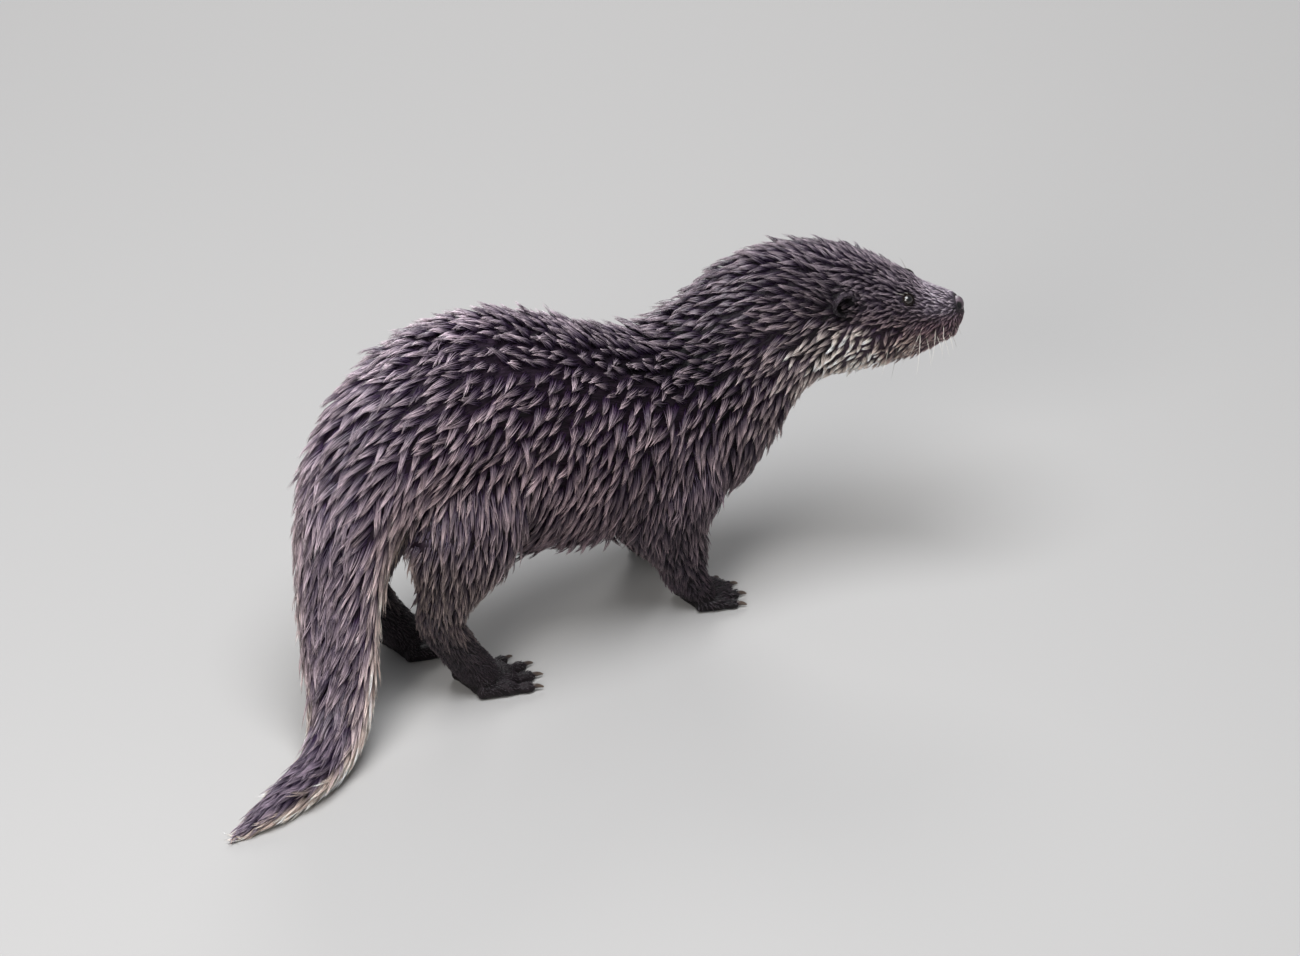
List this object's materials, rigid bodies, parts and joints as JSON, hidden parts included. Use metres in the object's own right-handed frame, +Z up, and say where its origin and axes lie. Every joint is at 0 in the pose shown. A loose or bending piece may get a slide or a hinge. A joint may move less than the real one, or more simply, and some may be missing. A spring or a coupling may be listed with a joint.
{
  "type": "eurasian otter",
  "caption": "Life-size still Eurasian otter, standing with humped back, raised neck turned to its right and tail laid down behind it.",
  "frame": {"origin": "on the floor, under the middle of the part's overall box", "axes": "+X from the tail towards the chest, along the trunk; +Y to the animal's left; +Z up. The head is turned 28 degrees to the animal's right."},
  "size_m": [0.7874, 0.2234, 0.342],
  "materials": {
    "coat": "wet brown fur",
    "pale_coat": "wet cream fur",
    "foot_skin": "damp skin with very short fur",
    "nose": "damp pebbled skin",
    "eye": "wet gloss",
    "claw": "worn horn"
  },
  "bodies": {
    "root": {"eye_right": "eye", "eye_left": "eye", "ear_right": "coat", "ear_left": "coat", "nose_pad": "nose", "lower_jaw": "pale_coat", "head": "coat", "tail_tip": "coat", "tail_end": "coat", "tail_middle": "coat", "tail_root": "coat", "rump": "coat", "loins": "coat", "chest": "coat", "shoulders": "coat", "neck": "coat", "thigh_right": "coat", "shank_right": "coat", "hind_foot_right": "foot_skin", "claw_hind_foot_right_1": "claw", "claw_hind_foot_right_2": "claw", "claw_hind_foot_right_3": "claw", "claw_hind_foot_right_4": "claw", "claw_hind_foot_right_5": "claw", "thigh_left": "coat", "shank_left": "coat", "hind_foot_left": "foot_skin", "claw_hind_foot_left_1": "claw", "claw_hind_foot_left_2": "claw", "claw_hind_foot_left_3": "claw", "claw_hind_foot_left_4": "claw", "claw_hind_foot_left_5": "claw", "upper_arm_right": "coat", "forearm_right": "coat", "front_foot_right": "foot_skin", "claw_front_foot_right_1": "claw", "claw_front_foot_right_2": "claw", "claw_front_foot_right_3": "claw", "claw_front_foot_right_4": "claw", "claw_front_foot_right_5": "claw", "upper_arm_left": "coat", "forearm_left": "coat", "front_foot_left": "foot_skin", "claw_front_foot_left_1": "claw", "claw_front_foot_left_2": "claw", "claw_front_foot_left_3": "claw", "claw_front_foot_left_4": "claw", "claw_front_foot_left_5": "claw"}
  },
  "joints": []
}
